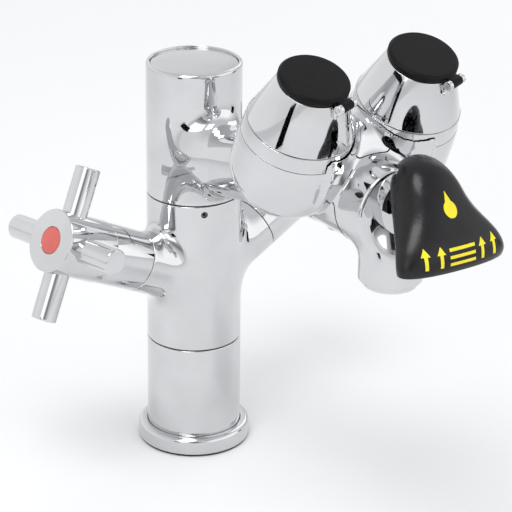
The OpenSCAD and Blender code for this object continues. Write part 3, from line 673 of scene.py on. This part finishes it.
def make_housing_seam():
    bm = bmesh.new()
    low, high = HOUSING_SEAM - 0.3, HOUSING_SEAM + 0.3
    lathe(bm, [(HOUSING_R - 1, low), (HOUSING_R + 0.05, low), (HOUSING_R + 0.05, high),
               (HOUSING_R - 1, high)], True, 180)
    for vert in bm.verts:
        radius = math.hypot(vert.co.x, vert.co.y)
        moved = radius - HOUSING_R + skin_radius(math.atan2(vert.co.y, vert.co.x))
        vert.co.x, vert.co.y = vert.co.x * moved / radius, vert.co.y * moved / radius
    add_piece("housing_seam", close_up(bm, "housing_seam", HOUSING_FRAME), "spout", RUBBER)


make_housing_seam()


# ---- eyewash heads ----
def hinge_frame():
    return turn(AXIS_Z, HINGE_TURN) @ shift(y=-HINGE_R, z=-HINGE_DROP)


def make_head(side):
    at = HEADS[side]
    lathe_piece(side + "_ring", [(20.5, -RING_LOW - 0.2), (CUP_R - 0.7, -RING_LOW - 0.2, 0.15),
                                 (COVER_R + 0.2, -RING_TOP + 0.2, 0.15), (20.5, -RING_TOP + 0.2)],
                "spout", CHROME, (side + "_lock_ring",), at, True)
    bm = bmesh.new()
    lathe(bm, [(COVER_R - 2, -COVER_LOW), (COVER_R, -COVER_LOW, 0.4),
               (CAP_R - 0.4, -COVER_TOP, 0.5), (CAP_R - 2.4, -COVER_TOP)], True)
    along = hinge_frame() @ turn(AXIS_Y, 90)
    for sign in (-1, 1):
        middle = sign * 4.3
        rod(bm, 2.2, 2.0, hinge_frame() @ shift(x=middle) @ turn(AXIS_Y, 90))
        block(bm, (middle - 1, 0, -5), (middle + 1, 2.6, -0.8), hinge_frame(), 0.25)
    add_piece(side + "_cover", close_up(bm, side + "_cover", at), "spout", CHROME,
              (side + "_head_cover",))
    bm = bmesh.new()
    lathe(bm, [(0, -CAP_T), (CAP_R - 0.3, -CAP_T), (CAP_R, -CAP_T + 0.4), (CAP_R, -1.1, 0.5),
               (CAP_R - 1.1, -0.05, 0.5), (CAP_R - 3.0, -0.05), (0, 0)])
    rod(bm, 2.2, 6.0, along)
    block(bm, (-3, 0.2, -0.1), (3, 4.2, 2.1), hinge_frame(), 0.5)
    add_piece(side + "_cap_lid", close_up(bm, side + "_cap_lid", at), side + "_cap", CAP_BLACK,
              (side + "_dust_cap",))


for head in HEADS:
    make_head(head)


# ---- lift hood ----
# Height, depth of the centre, half width and half depth, from the crown down to the lip
HOOD_STATIONS = np.array([
    [205.25, 174.6, 0.02, 0.02], [205.0, 174.7, 2.3, 2.5], [204.4, 174.9, 4.6, 4.8],
    [202.5, 175.6, 8.2, 8.2], [199.4, 176.7, 11.2, 11.0], [195.2, 178.6, 13.7, 13.1],
    [190.0, 181.4, 15.6, 14.2], [185.4, 184.9, 17.8, 14.0], [181.6, 188.6, 20.3, 12.9],
    [178.0, 192.2, 22.9, 11.7], [174.4, 195.2, 25.1, 10.4], [170.6, 197.2, 26.6, 9.2],
    [167.4, 197.9, 27.0, 8.3], [165.2, 197.7, 26.5, 7.6]])


def eased(table, share):
    """A smooth curve through the rows of a table, at a share of its length."""
    steps = np.linalg.norm(np.diff(table, axis=0), axis=1)
    place = np.concatenate([[0], np.cumsum(steps)]) / steps.sum()
    slope = np.gradient(table, place, axis=0)
    k = min(max(int(np.searchsorted(place, share)) - 1, 0), len(table) - 2)
    width = place[k + 1] - place[k]
    t = (share - place[k]) / width
    return ((2 * t ** 3 - 3 * t ** 2 + 1) * table[k] + (t ** 3 - 2 * t ** 2 + t) * width * slope[k]
            + (3 * t ** 2 - 2 * t ** 3) * table[k + 1] + (t ** 3 - t ** 2) * width * slope[k + 1])


def hood_point(angle, share):
    z, depth, wide, deep = eased(HOOD_STATIONS, share)
    c, s = math.cos(angle), math.sin(angle)
    return Vector((wide * math.copysign(abs(c) ** HOOD_SQUARE, c),
                   -depth - deep * math.copysign(abs(s) ** HOOD_SQUARE, s), z))


def hood_skin(around=96, down=44):
    """The hood's outer skin: a grid bent round the hood and closed at the crown."""
    bm = bmesh.new()
    bmesh.ops.create_grid(bm, x_segments=around, y_segments=down, size=0.5)
    for vert in bm.verts:
        share = (0.5 - vert.co.y) ** 1.15
        vert.co = hood_point((vert.co.x + 0.5) * 2 * math.pi, min(max(share, 0.0), 1.0))
    bmesh.ops.remove_doubles(bm, verts=bm.verts, dist=0.045)
    bmesh.ops.recalc_face_normals(bm, faces=bm.faces)
    return bm


def make_hood():
    bm = hood_skin()
    # The faces look outwards, so that the wall grows inwards
    if sum(face.normal.y * (-face.calc_center_median().y - 185) for face in bm.faces) > 0:
        bmesh.ops.reverse_faces(bm, faces=bm.faces)
    work = linked("hood_shell", mesh_from(bm, "hood_shell"))
    wall = work.modifiers.new("wall", "SOLIDIFY")
    wall.thickness, wall.offset, wall.use_even_offset = HOOD_WALL, -1.0, True
    cutters = bmesh.new()
    plate(cutters, [(-168, 215), (-168, 187), (-171, 181), (-187, 175.5), (-192, 172),
                    (-192, 150), (-140, 150), (-140, 215)], -40, 40, 0)
    window = bmesh.new()
    plate(window, [(-193, 150), (-193, 176), (-184, 183), (-176, 190), (-173, 201),
                   (-140, 201), (-140, 150)], -11, 11, 0)
    for k, tool_shape in enumerate((cutters, window)):
        tool = linked(f"hood_cut_{k}", mesh_from(tool_shape, f"hood_cut_{k}"))
        cut = work.modifiers.new(f"cut_{k}", "BOOLEAN")
        cut.operation, cut.solver, cut.object = "DIFFERENCE", "EXACT", tool
    soften = work.modifiers.new("soften", "BEVEL")
    soften.width, soften.segments, soften.limit_method = 0.5, 3, "ANGLE"
    soften.angle_limit, soften.use_clamp_overlap = math.radians(50), True
    mesh = applied(work)
    for k in range(2):
        bpy.data.objects.remove(bpy.data.objects[f"hood_cut_{k}"])
    bm = bmesh.new()
    bm.from_mesh(mesh)
    px, py, pz = PIVOT
    for sign in (-1, 1):
        low, high = sorted((sign * 5.0, sign * 7.5))
        plate(bm, [(py, pz + 5), (py - 16.6, pz + 5), (py - 19.4, pz + 0.5), (py - 27.7, pz - 11.7),
                   (py - 27.7, pz - 12), (py + 5, pz - 12), (py + 5, pz - 5), (py + 4.6, pz + 2),
                   (py + 2.5, pz + 4.4)], low, high, 0)
        pad = sorted((sign * 1.8, sign * 7.5))
        block(bm, (pad[0], py + 3.15, pz - 12), (pad[1], py + 5, pz - 6), UPRIGHT, 0.2)
    block(bm, (-6, py - 5.15, pz - 12), (6, py - 3.15, pz - 6), UPRIGHT, 0.2)
    add_piece("hood_shell", close_up(bm, "hood_shell", UPRIGHT, 42), "hood", BLACK,
              ("lift_hood",))


make_hood()


def on_hood(x, z):
    """The point of the hood's front skin at a width and height."""
    low, high = 0.0, 1.0
    for _ in range(40):
        share = (low + high) / 2
        if front_point(x, share).z > z:
            low = share
        else:
            high = share
    return front_point(x, (low + high) / 2)


def front_point(x, share):
    wide = eased(HOOD_STATIONS, share)[2]
    c = min(abs(x) / max(wide, 1e-6), 1.0) ** (1 / HOOD_SQUARE)
    angle = math.acos(min(c, 1.0))
    if x < 0:
        angle = math.pi - angle
    return hood_point(angle, share)


def print_shape(bm, outline, hole=None, fine=0.8):
    """A flat printed mark of (x, z) points laid on the hood's front with a little thickness."""
    fresh = bmesh.new()
    loops = [[fresh.verts.new((x, 0, z)) for x, z in line] for line in (outline, hole) if line]
    edges = []
    for verts in loops:
        edges += [fresh.edges.new((verts[k], verts[(k + 1) % len(verts)]))
                  for k in range(len(verts))]
    bmesh.ops.triangle_fill(fresh, edges=edges, use_beauty=True)
    for _ in range(4):
        long = [e for e in fresh.edges if e.calc_length() > fine]
        if not long:
            break
        bmesh.ops.subdivide_edges(fresh, edges=long, cuts=1)
        bmesh.ops.triangulate(fresh, faces=fresh.faces)
    for vert in fresh.verts:
        vert.co = on_hood(vert.co.x, vert.co.z)
    bmesh.ops.recalc_face_normals(fresh, faces=fresh.faces)
    if sum(face.normal.y for face in fresh.faces) > 0:
        bmesh.ops.reverse_faces(fresh, faces=fresh.faces)
    for vert in fresh.verts:
        vert.normal_update()
    for vert in fresh.verts:
        vert.co += vert.normal * 0.1
    bmesh.ops.solidify(fresh, geom=fresh.faces[:], thickness=0.16)
    join(bm, fresh)


def bar(x0, x1, z0, z1):
    return [(x0, z0), (x1, z0), (x1, z1), (x0, z1)]


def arrow(x, z0, z1, half=2.0, stem=0.75, head=3.2):
    return [(x - stem, z0), (x + stem, z0), (x + stem, z1 - head), (x + half, z1 - head),
            (x, z1), (x - half, z1 - head), (x - stem, z1 - head)]


def drop(x, z, radius, tall, steps=28):
    """A water drop with its tip up."""
    start = math.degrees(math.asin(radius / tall))
    sweep = 360 - 2 * start - 0.01
    points = [(x, z + tall)]
    for k in range(steps + 1):
        angle = math.radians(start + sweep * k / steps)
        points.append((x - radius * math.sin(angle), z + radius * math.cos(angle)))
    return points


def make_print():
    """Plain lift marks: a water drop over bars and up arrows."""
    bm = bmesh.new()
    print_shape(bm, drop(0, 189.0, 3.1, 6.6))
    for sign in (-1, 1):
        print_shape(bm, arrow(sign * 17.5, 168.6, 177.2))
        print_shape(bm, arrow(sign * 10.5, 168.6, 177.2))
    for z in (169.4, 172.4, 175.4):
        print_shape(bm, bar(-6.5, 6.5, z - 0.65, z + 0.65))
    add_piece("hood_print", close_up(bm, "hood_print", UPRIGHT, 42), "hood", YELLOW)


make_print()


# ---- parts shown as machined ----
SHOWN_AS_MADE = [
    ("deck_gasket", "base", RUBBER, "rubber"),
    ("lower_seal", "base", RUBBER, "rubber"),
    ("upper_seal", "base", RUBBER, "rubber"),
    ("spout_lock_screw", "base", DARK_STEEL, "steel"),
    ("mounting_plate", "base", BRASS, "brass"),
    ("aerator_insert", "spout", PLASTIC, "clear_plastic"),
    ("front_bonnet", "spout", CHROME, "chrome"),
    ("diverter_stem", "diverter", BRASS, "brass"),
    ("hood_pivot_pin", "hood", STEEL, "steel"),
    ("left_cap_pin", "spout", STEEL, "steel"),
    ("right_cap_pin", "spout", STEEL, "steel"),
    ("left_spray_insert", "spout", PLASTIC, "clear_plastic"),
    ("right_spray_insert", "spout", PLASTIC, "clear_plastic"),
]
for node, body, finish, slot_name in SHOWN_AS_MADE:
    smooth_copy(node, body, finish)

SLOT_FINISH = {"chrome": CHROME, "brass": BRASS, "rubber": RUBBER, "steel": STEEL,
               "clear_plastic": PLASTIC, "black_plastic": BLACK, "red_button": RED,
               "blue_button": BLUE}
SLOT_OF = {part["node"]: part["material_slot"] for part in frame["record"]["subparts"]}
for node, part in frame["nodes"].items():
    part.data.materials.clear()
    part.data.materials.append(SLOT_FINISH[SLOT_OF[node]])


# ---- studio ----
def studio():
    bm = bmesh.new()
    bmesh.ops.create_grid(bm, x_segments=1, y_segments=1, size=6)
    mesh = mesh_from(bm, "floor")
    floor = linked("floor", mesh)
    floor.location.z = -0.0002
    made, nodes, links, shader, coords = new_finish("pale_floor")
    cloud = noise(nodes, links, coords, 3.0)
    links.new(tint(nodes, links, cloud.outputs["Fac"], (0.90, 0.90, 0.90), (0.93, 0.93, 0.93)),
              shader.inputs["Base Color"])
    shader.inputs["Roughness"].default_value = 0.9
    shader.inputs["Specular IOR Level"].default_value = 0.1
    mesh.materials.append(made)

    def dark_card(name, place, width, height, heading):
        bm = bmesh.new()
        bmesh.ops.create_grid(bm, x_segments=1, y_segments=1, size=0.5)
        bmesh.ops.transform(bm, verts=bm.verts, matrix=Matrix.Translation(place)
                            @ turn(AXIS_Z, heading) @ turn(AXIS_X, 90)
                            @ Matrix.Diagonal((width, height, 1, 1)))
        mesh = mesh_from(bm, name)
        card = linked(name, mesh)
        made, _, _, shader, _ = new_finish(name)
        shader.inputs["Base Color"].default_value = (0.004, 0.004, 0.004, 1)
        shader.inputs["Roughness"].default_value = 1.0
        shader.inputs["Specular IOR Level"].default_value = 0.0
        mesh.materials.append(made)

    dark_card("left_card", (-0.74, -0.34, 0.125), 0.15, 0.25, -65)
    dark_card("right_card", (0.80, -0.25, 0.11), 0.16, 0.22, 70)

    def softbox(name, place, aim, size, watts):
        data = bpy.data.lights.new(name, "AREA")
        data.shape, data.size, data.size_y, data.energy = "RECTANGLE", size[0], size[1], watts
        lamp = linked(name, data)
        lamp.location = place
        lamp.rotation_mode = "QUATERNION"
        lamp.rotation_quaternion = (Vector(aim) - Vector(place)).to_track_quat("-Z", "Y")

    softbox("overhead", (-0.45, -0.34, 1.25), (0, -0.1, 0.15), (0.5, 0.45), 4.8)
    softbox("left_front", (-1.3, -0.9, 0.8), (0, -0.08, 0.12), (0.8, 1.2), 2.6)
    softbox("right_back", (1.2, 0.6, 0.9), (0, -0.08, 0.12), (0.8, 1.0), 2.2)

    world = bpy.data.worlds.new("studio")
    bpy.context.scene.world = world
    world.use_nodes = True
    nodes, links = world.node_tree.nodes, world.node_tree.links
    nodes.clear()
    out = nodes.new("ShaderNodeOutputWorld")
    seen, lit = nodes.new("ShaderNodeBackground"), nodes.new("ShaderNodeBackground")
    choose, path = nodes.new("ShaderNodeMixShader"), nodes.new("ShaderNodeLightPath")
    seen.inputs["Color"].default_value = (1, 1, 1, 1)
    lit.inputs["Strength"].default_value = 1.14
    coords = nodes.new("ShaderNodeTexCoord")
    parts = nodes.new("ShaderNodeSeparateXYZ")
    links.new(coords.outputs["Generated"], parts.inputs["Vector"])
    azimuth = nodes.new("ShaderNodeMath")
    azimuth.operation = "ARCTAN2"
    links.new(parts.outputs["X"], azimuth.inputs[0])
    links.new(parts.outputs["Y"], azimuth.inputs[1])
    scaled = nodes.new("ShaderNodeMapRange")
    scaled.inputs["From Min"].default_value = -math.pi
    scaled.inputs["From Max"].default_value = math.pi
    links.new(azimuth.outputs["Value"], scaled.inputs["Value"])
    walls = nodes.new("ShaderNodeValToRGB")
    walls.color_ramp.interpolation = "LINEAR"
    stops = [(0.0, 1.0), (0.05, 0.55), (0.08, 0.22), (0.11, 0.45), (0.16, 0.8), (0.24, 0.82),
             (0.32, 0.9), (0.54, 0.92), (0.60, 0.75), (0.65, 0.5), (0.71, 0.45), (0.77, 0.8),
             (0.83, 1.25), (0.95, 1.2)]
    ramp = walls.color_ramp
    while len(ramp.elements) < len(stops):
        ramp.elements.new(0.5)
    for element, (place, grey) in zip(ramp.elements, stops):
        element.position = place
        element.color = (grey, grey, grey * 1.01, 1)
    links.new(scaled.outputs["Result"], walls.inputs["Fac"])
    sky = nodes.new("ShaderNodeMapRange")
    sky.inputs["From Min"].default_value = 0.45
    sky.inputs["From Max"].default_value = 0.8
    links.new(parts.outputs["Z"], sky.inputs["Value"])
    blend = nodes.new("ShaderNodeMix")
    blend.data_type = "RGBA"
    blend.inputs["B"].default_value = (0.66, 0.67, 0.69, 1)
    links.new(sky.outputs["Result"], blend.inputs["Factor"])
    links.new(walls.outputs["Color"], blend.inputs["A"])
    links.new(blend.outputs["Result"], lit.inputs["Color"])
    links.new(path.outputs["Is Camera Ray"], choose.inputs["Fac"])
    links.new(lit.outputs["Background"], choose.inputs[1])
    links.new(seen.outputs["Background"], choose.inputs[2])
    links.new(choose.outputs["Shader"], out.inputs["Surface"])


studio()
bpy.context.scene.view_settings.view_transform = "Standard"
